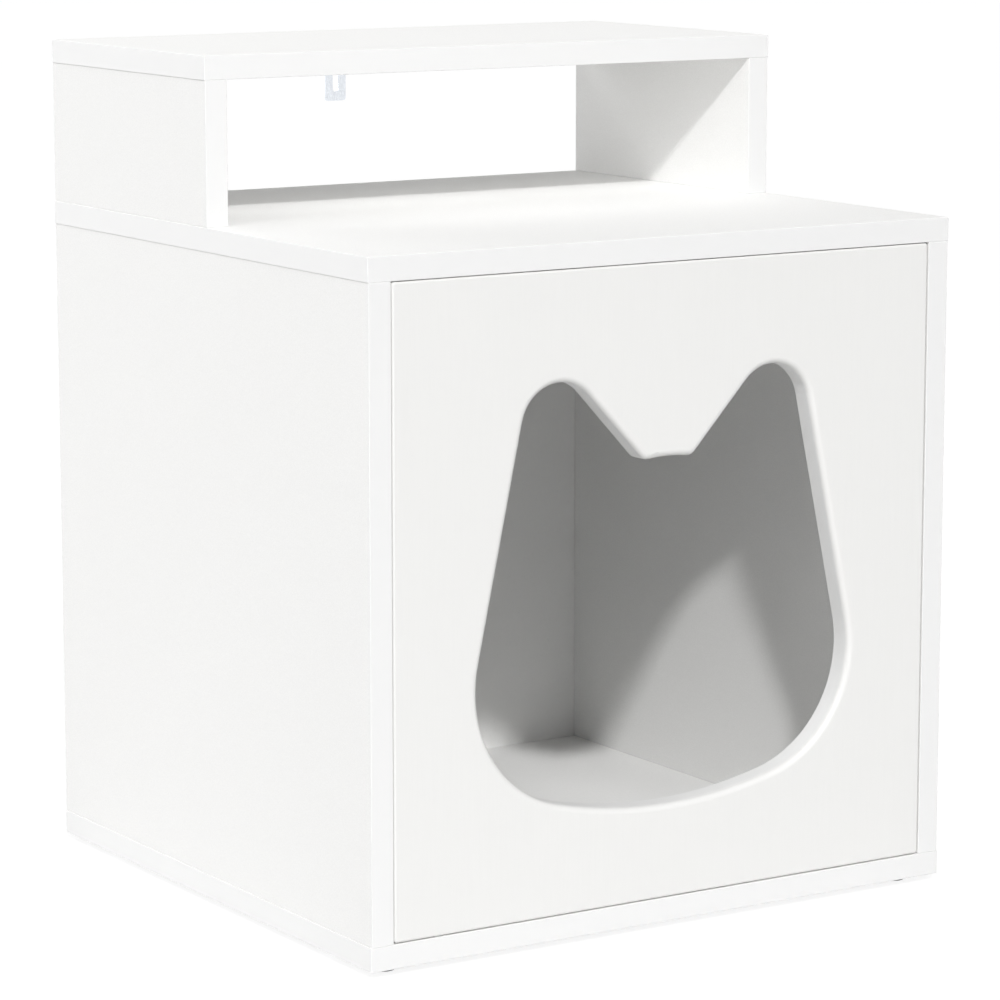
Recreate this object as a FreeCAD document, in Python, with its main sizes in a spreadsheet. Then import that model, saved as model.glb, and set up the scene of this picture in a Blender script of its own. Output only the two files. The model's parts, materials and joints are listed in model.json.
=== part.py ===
import FreeCAD
import Part

import math
import os
import re

import Sketcher

# A white cat house of coated boards: a cabin with a swinging door that has a
# cat-head doorway, and a low open riser on the rear half of its table top.
# Millimetres, +Z up, the door faces -Y, the origin is below the middle of the
# house, in the plane of the feet.

Vector = FreeCAD.Vector
Rotation = FreeCAD.Rotation

doc = FreeCAD.newDocument("cat_house")
sheet = doc.addObject("Spreadsheet::Sheet", "sizes")

SIZES = {
    # Boards of the cabin and of the riser
    "board_width": 425.0,
    "board_depth": 400.0,
    "board_thick": 15.0,
    "side_height": 395.0,
    "side_overhang": 0.5,
    "riser_height": 90.0,
    "riser_depth": 207.0,
    "edge_round": 0.4,
    "back_thick": 3.0,
    "back_inset": 2.0,
    "thin_round": 0.3,
    # Door, its gaps and its rounded rims
    "door_thick": 15.0,
    "door_side_gap": 0.7,
    "door_top_gap": 0.5,
    "door_bottom_gap": 0.6,
    "door_corner": 2.0,
    "door_round": 1.5,
    "doorway_round": 4.0,
    # Doorway: solid door left round it, and the shares of half its width
    "doorway_jamb": 58.3,
    "doorway_sill": 58.9,
    "doorway_head": 67.6,
    "cheek_radius_share": 0.565,
    "chin_radius_share": 2.33,
    "ear_radius_share": 0.2,
    "ear_offset_share": 0.567,
    "brow_drop_share": 0.369,
    "brow_half_share": 0.11,
    "brow_corner_share": 0.0435,
    "crown_radius_share": 0.87,
    # Door pivots: steel pins pressed into the door, running in nylon bushes
    "pivot_inset": 32.0,
    "pivot_setback": 6.5,
    "pin_dia": 6.0,
    "pin_grip": 20.0,
    "pin_reach": 8.0,
    "pin_chamfer": 0.6,
    "bush_dia": 8.0,
    "bush_depth": 10.0,
    "bush_floor": 1.0,
    "bush_flange_dia": 10.5,
    "upper_flange_thick": 0.3,
    "running_clearance": 0.06,
    "seat_clearance": 0.05,
    # Magnetic catch under the table top, and its strike plate on the door
    "catch_inset": 45.0,
    "catch_width": 24.0,
    "catch_height": 20.0,
    "catch_depth": 18.0,
    "catch_plate_width": 46.0,
    "catch_plate_depth": 12.0,
    "catch_plate_thick": 2.5,
    "catch_screw_spacing": 36.0,
    "catch_drop": 12.0,
    "pole_proud": 1.0,
    "pole_width": 19.0,
    "pole_thick": 1.5,
    "magnet_height": 5.0,
    "magnet_depth": 14.0,
    "strike_width": 44.0,
    "strike_height": 14.0,
    "strike_thick": 1.2,
    "strike_gap": 0.3,
    "strike_screw_spacing": 34.0,
    "small_screw_dia": 3.0,
    "small_screw_length": 12.0,
    "small_head_dia": 5.6,
    "small_head_height": 1.8,
    "small_tip": 3.0,
    "small_recess_dia": 2.4,
    "small_recess_depth": 1.1,
    "head_crown_share": 0.7,
    # Steel angle at the rear of the riser shelf, slotted for a wall screw
    "angle_width": 16.0,
    "angle_thick": 1.5,
    "angle_drop": 33.0,
    "angle_reach": 30.0,
    "angle_bend": 1.5,
    "angle_corner": 2.0,
    "angle_slot_width": 4.2,
    "angle_slot_length": 19.0,
    "angle_slot_foot": 6.0,
    "angle_screw_inset": 9.0,
    "angle_screw_spacing": 14.0,
    # Nailed-on plastic glides
    "foot_height": 5.0,
    "foot_dia": 16.0,
    "foot_inset": 20.0,
    "foot_chamfer": 1.2,
    "foot_recess_dia": 7.0,
    "foot_recess_depth": 2.0,
    "foot_nail_dia": 2.2,
    "foot_nail_head_dia": 5.0,
    "foot_nail_head": 1.0,
    "foot_nail_grip": 11.0,
    "nail_tip": 2.0,
    # Cam locks in the side panels, their bolts in the table top
    "cam_inset": 60.0,
    "cam_setback": 34.0,
    "cam_dia": 15.0,
    "cam_skin": 2.5,
    "cam_slot_width": 1.6,
    "cam_slot_length": 9.0,
    "cam_slot_depth": 1.5,
    "cam_throat_dia": 7.6,
    "cam_throat_past": 4.0,
    "bolt_dia": 7.0,
    "bolt_thread_dia": 6.0,
    "bolt_thread_skin": 4.0,
    "bolt_neck_dia": 4.4,
    "bolt_neck_length": 5.5,
    "bolt_head_dia": 6.8,
    "bolt_head_length": 5.0,
    # Wooden dowels
    "dowel_dia": 8.0,
    "dowel_length": 30.0,
    "dowel_skin": 3.5,
    "dowel_chamfer": 1.0,
    "dowel_inset": 130.0,
    "shelf_dowel_inset": 35.0,
    "drill_spare": 0.8,
    # Sunk screws: up through the floor board, and up through the table top
    "floor_screw_dia": 6.6,
    "floor_screw_length": 50.0,
    "floor_screw_head_dia": 10.0,
    "floor_screw_head": 3.6,
    "floor_screw_tip": 5.0,
    "riser_screw_dia": 4.0,
    "riser_screw_length": 45.0,
    "riser_screw_head_dia": 8.0,
    "riser_screw_head": 3.0,
    "riser_screw_tip": 5.0,
    "riser_screw_inset": 28.0,
    "drive_share": 0.46,
    "drive_depth_share": 0.6,
    # Nails of the back panel
    "back_nail_dia": 1.6,
    "back_nail_length": 20.0,
    "back_nail_head_dia": 4.4,
    "back_nail_head": 0.8,
    # How far each cutting shape starts outside the face it cuts
    "cut_overrun": 2.0,
}

# Places worked out from the sizes. The house stands on its feet at z = 0.
PLACES = {
    "half_width": "board_width / 2",
    "front": "-(board_depth + back_thick) / 2",
    "rear": "front + board_depth",
    "floor_top": "foot_height + board_thick",
    "table_low": "floor_top + side_height",
    "table_top": "table_low + board_thick",
    "shelf_low": "table_top + riser_height",
    "panel_out": "half_width - side_overhang",
    "panel_in": "panel_out - board_thick",
    "panel_mid": "panel_out - board_thick / 2",
    "riser_front": "rear - riser_depth",
    # Door, from its own middle, front face and lower edge
    "door_half": "panel_in - door_side_gap",
    "door_low": "floor_top + door_bottom_gap",
    "door_height": "side_height - door_bottom_gap - door_top_gap",
    "door_high": "door_low + door_height",
    "door_rear": "front + door_thick",
    "pivot_x": "-door_half + pivot_inset",
    "pivot_y": "front + pivot_setback",
    # Doorway in the door's own frame
    "doorway_half": "door_half - doorway_jamb",
    "doorway_high": "door_height - doorway_head",
    "cheek_radius": "doorway_half * cheek_radius_share",
    "cheek_x": "doorway_half - cheek_radius",
    "chin_radius": "doorway_half * chin_radius_share",
    "chin_z": "doorway_sill + chin_radius",
    "cheek_z": "chin_z - sqrt((chin_radius - cheek_radius) ^ 2 - cheek_x ^ 2)",
    "ear_radius": "doorway_half * ear_radius_share",
    "ear_x": "doorway_half * ear_offset_share",
    "ear_z": "doorway_high - ear_radius",
    "brow_x": "doorway_half * brow_half_share",
    "brow_corner": "doorway_half * brow_corner_share",
    "crown_radius": "doorway_half * crown_radius_share",
    "crown_z": "doorway_high - doorway_half * brow_drop_share - crown_radius",
    "brow_z": "crown_z + sqrt((crown_radius + brow_corner) ^ 2 - brow_x ^ 2)",
    # Magnetic catch
    "catch_x": "panel_in - catch_inset",
    "catch_z": "table_low - catch_drop",
    "pole_front": "door_rear + strike_thick + strike_gap",
    "catch_front": "pole_front + pole_proud",
    "catch_screw_y": "catch_front + catch_plate_depth / 2",
    "stack_half": "magnet_height / 2 + pole_thick",
    # Joints of the boards
    "cam_z": "table_low - cam_setback",
    "cam_length": "board_thick - cam_skin",
    "dowel_sunk": "board_thick - dowel_skin",
    "bolt_thread": "board_thick - bolt_thread_skin",
    "cam_front": "front + cam_inset",
    "cam_rear": "rear - cam_inset",
    "dowel_front": "front + dowel_inset",
    "dowel_rear": "rear - dowel_inset",
    "riser_mid": "rear - riser_depth / 2",
    "riser_screw_front": "riser_front + riser_screw_inset",
    "riser_screw_rear": "rear - riser_screw_inset",
    "shelf_dowel_front": "riser_front + shelf_dowel_inset",
    "shelf_dowel_rear": "rear - shelf_dowel_inset",
    "foot_x": "half_width - foot_inset",
    "foot_front": "front + foot_inset",
    "foot_rear": "rear - foot_inset",
    # Angle at the rear of the shelf
    "angle_low": "shelf_low - angle_drop",
    "slot_low": "angle_low + angle_slot_foot + angle_slot_width / 2",
    "slot_high": "slot_low + angle_slot_length - angle_slot_width",
    "angle_screw_rear": "rear - angle_screw_inset",
    "angle_screw_front": "angle_screw_rear - angle_screw_spacing",
}

# Nail rows of the back panel, as shares of the side panels' height and the boards' width
SIDE_NAIL_SHARES = (0.1, 0.3, 0.5, 0.7, 0.9)
EDGE_NAIL_SHARES = (-0.36, -0.12, 0.12, 0.36)

# Turns that take +Z to each direction a hole or a fastener points in, and the turns of the
# cams, which look into the cabin with their throats up
POINTING = {
    "+z": Rotation(),
    "-z": Rotation(Vector(1, 0, 0), 180),
    "+y": Rotation(Vector(1, 0, 0), -90),
    "-y": Rotation(Vector(1, 0, 0), 90),
    "+x": Rotation(Vector(0, 1, 0), 90),
    "-x": Rotation(Vector(0, 1, 0), -90),
    "left cam": Rotation(Vector(1, 0, 1), 180),
    "right cam": Rotation(Vector(0, 1, 0), -90),
}
SIDES = {"left": "-", "right": "+"}

for row, (alias, number) in enumerate(SIZES.items(), start=1):
    sheet.set("A%d" % row, alias)
    sheet.set("B%d" % row, str(number))
    sheet.setAlias("B%d" % row, alias)
doc.recompute()


def written_out(text):
    """A formula with its places written out down to sizes of the sheet."""
    def one_name(match):
        word = match.group(0)
        if word in PLACES:
            return "(" + written_out(PLACES[word]) + ")"
        return "sizes." + word if word in SIZES else word
    return re.sub(r"[a-z_]+", one_name, text)


places = doc.addObject("App::VarSet", "places")
for name, formula in PLACES.items():
    places.addProperty("App::PropertyFloat", name)
    places.setExpression(name, written_out(formula))
doc.recompute()


def bound(text):
    """A formula of sizes and places as an expression of the document."""
    def one_name(match):
        word = match.group(0)
        if word in PLACES:
            return "places." + word
        return "sizes." + word if word in SIZES else word
    return re.sub(r"[a-z_]+", one_name, text)


def bind(item, **formulas):
    """Tie properties of an object to formulas of sizes and places."""
    for name, formula in formulas.items():
        item.setExpression(name, bound(formula))


def place(item, at, turn=None):
    """Tie an object's position to three formulas and give it a fixed turn."""
    item.Placement = FreeCAD.Placement(Vector(), turn or Rotation())
    for axis, formula in zip("xyz", at):
        item.setExpression("Placement.Base." + axis, bound(formula))


def plane(body, role):
    """The body's own origin plane of that role."""
    return next(feature for feature in body.Origin.OriginFeatures if feature.Role == role)


def new_sketch(body, name, role):
    """An empty sketch on one of the body's origin planes."""
    sketch = body.newObject("Sketcher::SketchObject", name)
    sketch.AttachmentSupport = [(plane(body, role), "")]
    sketch.MapMode = "FlatFace"
    return sketch


def tie_value(sketch, constraint, formula):
    """Add a constraint to a sketch and tie its value to a formula."""
    number = sketch.addConstraint(constraint)
    sketch.setExpression("Constraints[%d]" % number, bound(formula))


def tie_point(sketch, piece, point, across, up, seed):
    """Hold one point of a sketch's piece at two formulas from the sketch's origin.

    A formula of None leaves that direction free."""
    for kind, formula, start in (("DistanceX", across, seed.x), ("DistanceY", up, seed.y)):
        if formula is not None:
            constraint = Sketcher.Constraint(kind, -1, 1, piece, point, start)
            tie_value(sketch, constraint, formula)


def polygon(body, name, role, points):
    """A closed sketch of straight lines through points given as formulas.

    Its corners start on a curve, and their constraints take them to the points."""
    sketch = new_sketch(body, name, role)
    count = len(points)
    seeds = [Vector(step, step * step, 0) for step in range(count)]
    for step in range(count):
        sketch.addGeometry(Part.LineSegment(seeds[step], seeds[(step + 1) % count]), False)
    for step in range(count):
        sketch.addConstraint(Sketcher.Constraint("Coincident", step, 2, (step + 1) % count, 1))
    for step, (across, up) in enumerate(points):
        tie_point(sketch, step, 1, across, up, seeds[step])
    doc.recompute()
    return sketch


def rectangle(body, name, role, low, high):
    """A rectangular sketch between two corners given as formulas."""
    corners = [low, (high[0], low[1]), high, (low[0], high[1])]
    return polygon(body, name, role, corners)


def edge_names(shape, wanted):
    """The names of a shape's edges that pass a test."""
    names = []
    for number, edge in enumerate(shape.Edges, start=1):
        if wanted(edge):
            names.append("Edge%d" % number)
    return names


def runs_along(edge, axis):
    """Whether an edge is a straight line along one of the axes."""
    start, end = edge.Vertexes[0].Point, edge.Vertexes[-1].Point
    return edge.Length > 0 and math.isclose(abs(getattr(end - start, axis)), edge.Length)


def rounded(body, name, radius, wanted):
    """Round the body's edges that pass a test, by a formula's radius."""
    last = body.Tip
    fillet = body.newObject("PartDesign::Fillet", name)
    fillet.Base = (last, edge_names(last.Shape, wanted))
    bind(fillet, Radius=radius)
    doc.recompute()
    return fillet


def padded(body, sketch, length):
    """Pad a sketch along its own normal by a formula's length."""
    pad = body.newObject("PartDesign::Pad", sketch.Name + "_pad")
    pad.Profile = sketch
    bind(pad, Length=length)
    doc.recompute()
    return pad


def board(label, low, size, edges="edge_round"):
    """A board with rounded edges, from its low corner and its three sizes."""
    body = doc.addObject("PartDesign::Body", label)
    sketch = rectangle(body, label + "_outline", "XY_Plane", ("0", "0"), size[:2])
    padded(body, sketch, size[2])
    rounded(body, label + "_edges", edges, lambda edge: True)
    place(body, low)
    return body


def turned(label, points):
    """A turned piece about +Z, from points of its half section as formulas."""
    body = doc.addObject("PartDesign::Body", label)
    sketch = polygon(body, label + "_section", "XZ_Plane", points)
    turn = body.newObject("PartDesign::Revolution", label + "_turn")
    turn.Profile = sketch
    turn.ReferenceAxis = (sketch, ["V_Axis"])
    turn.Angle = 360
    doc.recompute()
    return body


def drill(at, pointing, dia, depth):
    """A drilled hole: its mouth, the way it points, and formulas for its size."""
    return {"at": at, "pointing": pointing, "dia": dia, "depth": depth}


def sink(at, screw):
    """The sunk seat of a screw's head, pointing up from the face of its board."""
    return {"at": at, "screw": screw}


def cutter(label, one):
    """The cutting shape of a drilled hole, which starts outside its mouth, or of a sink."""
    if "screw" in one:
        cone = doc.addObject("Part::Cone", label)
        bind(cone, Radius1=one["screw"] + "_head_dia / 2 + seat_clearance",
             Radius2=one["screw"] + "_dia / 2 + seat_clearance", Height=one["screw"] + "_head")
        place(cone, one["at"])
        return cone
    tool = doc.addObject("Part::Cylinder", label)
    bind(tool, Radius="(%s) / 2 + seat_clearance" % one["dia"],
         Height="%s + cut_overrun" % one["depth"])
    sign, axis = one["pointing"]
    outwards = "-" if sign == "+" else "+"
    mouth = list(one["at"])
    spot = "xyz".index(axis)
    mouth[spot] = "%s %s cut_overrun" % (mouth[spot], outwards)
    place(tool, mouth, POINTING[one["pointing"]])
    return tool


def block(label, low, size):
    """A plain block from its low corner and its three sizes, all formulas."""
    solid = doc.addObject("Part::Box", label)
    bind(solid, Length=size[0], Width=size[1], Height=size[2])
    place(solid, low)
    return solid


def fused(label, shapes):
    """Several shapes as one."""
    if len(shapes) == 1:
        return shapes[0]
    joined = doc.addObject("Part::MultiFuse", label)
    joined.Shapes = shapes
    return joined


def cut(label, blank, tools):
    """The blank less its cutting shapes. It takes over the sub-part's label."""
    blank.Label = label + "_blank"
    result = doc.addObject("Part::Cut", label + "_cut")
    result.Label = label
    result.Base = blank
    result.Tool = fused(label + "_cutters", tools)
    doc.recompute()
    return result


def drilled(label, blank, holes):
    """The blank with its holes and sinks cut."""
    tools = [cutter("%s_cutter_%d" % (label, step), one) for step, one in enumerate(holes)]
    return cut(label, blank, tools)


def copies(label, master, spots, turns=("+z",)):
    """One sub-part of separate copies of a master piece, each at a spot and turned."""
    links = []
    for step, at in enumerate(spots):
        link = doc.addObject("App::Link", "%s_%d" % (label, step + 1))
        link.LinkedObject = master
        turn = turns[step % len(turns)]
        place(link, at, POINTING[turn])
        links.append(link)
    group = doc.addObject("Part::Compound", label)
    group.Label = label
    group.Links = links
    doc.recompute()
    return group


# Spots where two or more pieces meet

def over_panels(sides, ys, z):
    """Spots on the middle line of the side panels, at each y, side by side."""
    return [(SIDES[side] + "panel_mid", y, z) for side in sides for y in ys]


BOTH = ("left", "right")
CAM_YS = ("cam_front", "cam_rear")
DOWEL_YS = ("dowel_front", "dowel_rear")
RISER_SCREW_YS = ("riser_screw_front", "riser_mid", "riser_screw_rear")
SHELF_DOWEL_YS = ("shelf_dowel_front", "riser_mid", "shelf_dowel_rear")
FOOT_SPOTS = {
    "front_left_foot": ("-foot_x", "foot_front"),
    "front_right_foot": ("foot_x", "foot_front"),
    "rear_left_foot": ("-foot_x", "foot_rear"),
    "rear_right_foot": ("foot_x", "foot_rear"),
}
CATCH_SCREW_SPOTS = [
    ("catch_x %s catch_screw_spacing / 2" % sign, "catch_screw_y") for sign in SIDES.values()
]
STRIKE_SCREW_SPOTS = [
    ("catch_x %s strike_screw_spacing / 2" % sign, "catch_z") for sign in SIDES.values()
]
ANGLE_SCREW_SPOTS = [("0", "angle_screw_rear"), ("0", "angle_screw_front")]
SIDE_NAIL_ZS = ["floor_top + side_height * %s" % share for share in SIDE_NAIL_SHARES]
EDGE_NAIL_XS = ["board_width * %s" % share for share in EDGE_NAIL_SHARES]
EDGE_NAIL_ZS = {"floor_board": "foot_height + board_thick / 2",
                "table_top": "table_low + board_thick / 2"}


def nail_holes(xs, zs):
    """The back panel's nail holes in the rear edges of a board."""
    depth = "back_nail_length - back_thick + drill_spare"
    return [drill((x, "rear", z), "-y", "back_nail_dia", depth) for x in xs for z in zs]


# Boards of the cabin and of the riser

def make_floor_board():
    holes = nail_holes(EDGE_NAIL_XS, [EDGE_NAIL_ZS["floor_board"]])
    for at in over_panels(BOTH, CAM_YS, "foot_height"):
        holes.append(drill(at, "+z", "floor_screw_dia", "board_thick + cut_overrun"))
        holes.append(sink(at, "floor_screw"))
    for at in over_panels(BOTH, DOWEL_YS, "floor_top"):
        holes.append(drill(at, "-z", "dowel_dia", "dowel_sunk + drill_spare"))
    for x, y in FOOT_SPOTS.values():
        holes.append(drill((x, y, "foot_height"), "+z", "foot_nail_dia",
                           "foot_nail_grip + drill_spare"))
    holes.append(drill(("pivot_x", "pivot_y", "floor_top"), "-z", "bush_dia", "bush_depth"))
    blank = board("floor_board", ("-half_width", "front", "foot_height"),
                  ("board_width", "board_depth", "board_thick"))
    return drilled("floor_board", blank, holes)


def make_side_panel(side):
    label = side + "_side_panel"
    outer = {"left": "-panel_out", "right": "panel_in"}[side]
    inner = SIDES[side] + "panel_in"
    into_panel = {"left": "-x", "right": "+x"}[side]
    holes = nail_holes([SIDES[side] + "panel_mid"], SIDE_NAIL_ZS)
    for y in CAM_YS:
        spot = SIDES[side] + "panel_mid"
        holes.append(drill((spot, y, "floor_top"), "+z", "floor_screw_dia",
                           "floor_screw_length - board_thick + drill_spare"))
        holes.append(drill((inner, y, "cam_z"), into_panel, "cam_dia", "cam_length"))
        holes.append(drill((spot, y, "table_low"), "-z", "bolt_dia", "cam_setback"))
    for y in DOWEL_YS:
        for z, pointing in (("floor_top", "+z"), ("table_low", "-z")):
            holes.append(drill((SIDES[side] + "panel_mid", y, z), pointing, "dowel_dia",
                               "dowel_length - dowel_sunk + drill_spare"))
    blank = board(label, (outer, "front", "floor_top"),
                  ("board_thick", "board_depth", "side_height"))
    return drilled(label, blank, holes)


def make_table_top():
    holes = nail_holes(EDGE_NAIL_XS, [EDGE_NAIL_ZS["table_top"]])
    for at in over_panels(BOTH, CAM_YS, "table_low"):
        holes.append(drill(at, "+z", "bolt_thread_dia", "bolt_thread + drill_spare"))
    for at in over_panels(BOTH, DOWEL_YS, "table_low"):
        holes.append(drill(at, "+z", "dowel_dia", "dowel_sunk + drill_spare"))
    for at in over_panels(BOTH, RISER_SCREW_YS, "table_low"):
        holes.append(drill(at, "+z", "riser_screw_dia", "board_thick + cut_overrun"))
        holes.append(sink(at, "riser_screw"))
    for x, y in CATCH_SCREW_SPOTS:
        holes.append(drill((x, y, "table_low"), "+z", "small_screw_dia",
                           "small_screw_length - catch_plate_thick + drill_spare"))
    holes.append(drill(("pivot_x", "pivot_y", "table_low"), "+z", "bush_dia", "bush_depth"))
    blank = board("table_top", ("-half_width", "front", "table_low"),
                  ("board_width", "board_depth", "board_thick"))
    return drilled("table_top", blank, holes)


def make_riser_panel(side):
    label = side + "_riser_panel"
    outer = {"left": "-panel_out", "right": "panel_in"}[side]
    holes = []
    for at in over_panels([side], RISER_SCREW_YS, "table_top"):
        holes.append(drill(at, "+z", "riser_screw_dia",
                           "riser_screw_length - board_thick + drill_spare"))
    for at in over_panels([side], SHELF_DOWEL_YS, "shelf_low"):
        holes.append(drill(at, "-z", "dowel_dia", "dowel_length - dowel_sunk + drill_spare"))
    blank = board(label, (outer, "riser_front", "table_top"),
                  ("board_thick", "riser_depth", "riser_height"))
    return drilled(label, blank, holes)


def make_riser_shelf():
    holes = []
    for at in over_panels(BOTH, SHELF_DOWEL_YS, "shelf_low"):
        holes.append(drill(at, "+z", "dowel_dia", "dowel_sunk + drill_spare"))
    for x, y in ANGLE_SCREW_SPOTS:
        holes.append(drill((x, y, "shelf_low"), "+z", "small_screw_dia",
                           "small_screw_length - angle_thick + drill_spare"))
    blank = board("riser_shelf", ("-half_width", "riser_front", "shelf_low"),
                  ("board_width", "riser_depth", "board_thick"))
    return drilled("riser_shelf", blank, holes)


def back_nail_spots():
    """Where the back panel is nailed: to the side panels, the floor board and the table top."""
    spots = [(sign + "panel_mid", z) for sign in SIDES.values() for z in SIDE_NAIL_ZS]
    spots += [(x, z) for x in EDGE_NAIL_XS for z in EDGE_NAIL_ZS.values()]
    return [(x, "rear + back_thick", z) for x, z in spots]


def make_back_panel():
    holes = []
    for at in back_nail_spots():
        holes.append(drill(at, "-y", "back_nail_dia", "back_thick + cut_overrun"))
        holes.append(drill(at, "-y", "back_nail_head_dia", "back_nail_head"))
    blank = board("back_panel", ("-half_width + back_inset", "rear", "foot_height + back_inset"),
                  ("board_width - 2 * back_inset", "back_thick",
                   "side_height + 2 * board_thick - 2 * back_inset"), "thin_round")
    return drilled("back_panel", blank, holes)


# Door with its cat-head doorway

def doorway_seeds():
    """The doorway's arcs and lines by name, in order, anticlockwise from the chin.

    The arcs' centres and radii follow the same formulas that the sketch is tied to."""
    cheek = Vector(places.cheek_x, places.cheek_z, 0)
    ear = Vector(places.ear_x, places.ear_z, 0)
    chin = Vector(0, places.chin_z, 0)
    crown = Vector(0, places.crown_z, 0)
    brow = Vector(places.brow_x, places.brow_z, 0)

    def heading(start, end):
        return math.atan2(end.y - start.y, end.x - start.x)

    # The side line touches cheek and ear on the outside, the inner line crosses from ear to brow
    narrower = places.cheek_radius - places.ear_radius
    shrink = math.asin(narrower / cheek.distanceToPoint(ear))
    side = heading(cheek, ear) - math.pi / 2 + shrink
    wider = places.ear_radius + places.brow_corner
    swing = math.asin(wider / brow.distanceToPoint(ear))
    inner = heading(brow, ear) + swing + math.pi / 2
    jaw = heading(chin, cheek)
    dip = heading(brow, crown)
    crest = heading(crown, brow)

    def arc(centre, radius, start, end):
        return Part.ArcOfCircle(Part.Circle(centre, Vector(0, 0, 1), radius), start, end)

    def rim(centre, radius, angle):
        return centre + Vector(math.cos(angle), math.sin(angle), 0) * radius

    def across(point):
        return Vector(-point.x, point.y, 0)

    def flip(angle):
        return math.pi - angle

    outer_line = (rim(cheek, places.cheek_radius, side), rim(ear, places.ear_radius, side))
    inner_line = (rim(ear, places.ear_radius, inner),
                  rim(brow, places.brow_corner, inner - math.pi))
    return {
        "chin": arc(chin, places.chin_radius, flip(jaw), jaw + 2 * math.pi),
        "right_cheek": arc(cheek, places.cheek_radius, jaw, side),
        "right_side": Part.LineSegment(*outer_line),
        "right_ear": arc(ear, places.ear_radius, side, inner),
        "right_slope": Part.LineSegment(*inner_line),
        "right_brow": arc(brow, places.brow_corner, dip, inner - math.pi),
        "crown": arc(crown, places.crown_radius, crest, flip(crest)),
        "left_brow": arc(across(brow), places.brow_corner, flip(inner - math.pi), flip(dip)),
        "left_slope": Part.LineSegment(across(inner_line[1]), across(inner_line[0])),
        "left_ear": arc(across(ear), places.ear_radius, flip(inner), flip(side)),
        "left_side": Part.LineSegment(across(outer_line[1]), across(outer_line[0])),
        "left_cheek": arc(across(cheek), places.cheek_radius, flip(side), flip(jaw)),
    }


# Each arc's radius and the place of its centre. Where None stands, the tangents set it.
DOORWAY_ARCS = {
    "chin": ("chin_radius", None, None),
    "right_cheek": ("cheek_radius", "cheek_x", "cheek_z"),
    "right_ear": ("ear_radius", "ear_x", "ear_z"),
    "right_brow": ("brow_corner", "brow_x", None),
    "crown": ("crown_radius", "0", "crown_z"),
    "left_brow": ("brow_corner", "-brow_x", None),
    "left_ear": ("ear_radius", "-ear_x", "ear_z"),
    "left_cheek": ("cheek_radius", "-cheek_x", "cheek_z"),
}


def doorway_sketch(body):
    """The cat-head outline: round cheeks and chin, straight sides, two ears, a low brow.

    Each piece touches the next. The brow's corners curve the other way, so they run backwards."""
    sketch = new_sketch(body, "doorway_outline", "XZ_Plane")
    seeds = doorway_seeds()
    names = list(seeds)
    for name in names:
        sketch.addGeometry(seeds[name], False)
    first_end, last_end, centre = 1, 2, 3
    for piece, name in enumerate(names):
        following = (piece + 1) % len(names)
        leaves = first_end if name.endswith("brow") else last_end
        enters = last_end if names[following].endswith("brow") else first_end
        sketch.addConstraint(Sketcher.Constraint("Tangent", piece, leaves, following, enters))
    for name, (radius, across, up) in DOORWAY_ARCS.items():
        piece = names.index(name)
        arc = seeds[name]
        tie_value(sketch, Sketcher.Constraint("Radius", piece, arc.Radius), radius)
        tie_point(sketch, piece, centre, across, up, arc.Center)
    doc.recompute()
    return sketch


def on_front(edge):
    """Whether an edge of the door lies on its front half."""
    return edge.BoundBox.YMax < sheet.door_thick / 2


def round_doorway(edge):
    """Whether an edge of the door lies inside the box round its doorway."""
    middle = edge.CenterOfMass
    level = sheet.doorway_sill <= middle.z <= places.doorway_high
    return level and abs(middle.x) <= places.doorway_half


def make_cat_door():
    body = doc.addObject("PartDesign::Body", "cat_door")
    outline = rectangle(body, "door_outline", "XZ_Plane",
                        ("-door_half", "0"), ("door_half", "door_height"))
    pad = padded(body, outline, "door_thick")
    pad.Reversed = True
    doc.recompute()
    rounded(body, "door_corners", "door_corner", lambda edge: runs_along(edge, "y"))
    solid = body.Shape.Volume
    doorway = body.newObject("PartDesign::Pocket", "doorway")
    doorway.Profile = doorway_sketch(body)
    doorway.Type = "ThroughAll"
    doc.recompute()
    if not body.Shape.Volume < solid:
        raise RuntimeError("the doorway cuts nothing out of the door")
    rounded(body, "door_rims", "door_round",
            lambda edge: on_front(edge) and not round_doorway(edge))
    rounded(body, "doorway_rims", "doorway_round",
            lambda edge: on_front(edge) and round_doorway(edge))
    place(body, ("0", "front", "door_low"))
    holes = [
        drill(("pivot_x", "pivot_y", "door_low"), "+z", "pin_dia", "pin_grip"),
        drill(("pivot_x", "pivot_y", "door_high"), "-z", "pin_dia", "pin_grip"),
    ]
    for x, z in STRIKE_SCREW_SPOTS:
        holes.append(drill((x, "door_rear", z), "-y", "small_screw_dia",
                           "small_screw_length - strike_thick + drill_spare"))
    return drilled("cat_door", body, holes)


# Door pivots

def make_pivot_pin(label, gap, at, pointing):
    """A pin pressed into the door's edge that reaches across the gap into its bush."""
    reach = "%s + pin_reach" % gap
    pin = turned(label, [
        ("0", "-(%s)" % reach),
        ("pin_dia / 2 - pin_chamfer", "-(%s)" % reach),
        ("pin_dia / 2", "pin_chamfer - (%s)" % reach),
        ("pin_dia / 2", "pin_grip - pin_chamfer"),
        ("pin_dia / 2 - pin_chamfer", "pin_grip"),
        ("0", "pin_grip"),
    ])
    place(pin, at, POINTING[pointing])
    return pin


def make_pivot_bush(label, flange, at, pointing):
    """A flanged bush pressed into a board, blind at its far end."""
    bore = "pin_dia / 2 + running_clearance"
    bush = turned(label, [
        ("0", "-bush_depth"),
        ("bush_dia / 2", "-bush_depth"),
        ("bush_dia / 2", "0"),
        ("bush_flange_dia / 2", "0"),
        ("bush_flange_dia / 2", flange),
        (bore, flange),
        (bore, "bush_floor - bush_depth"),
        ("0", "bush_floor - bush_depth"),
    ])
    place(bush, at, POINTING[pointing])
    return bush


# Magnetic catch and strike plate

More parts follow.
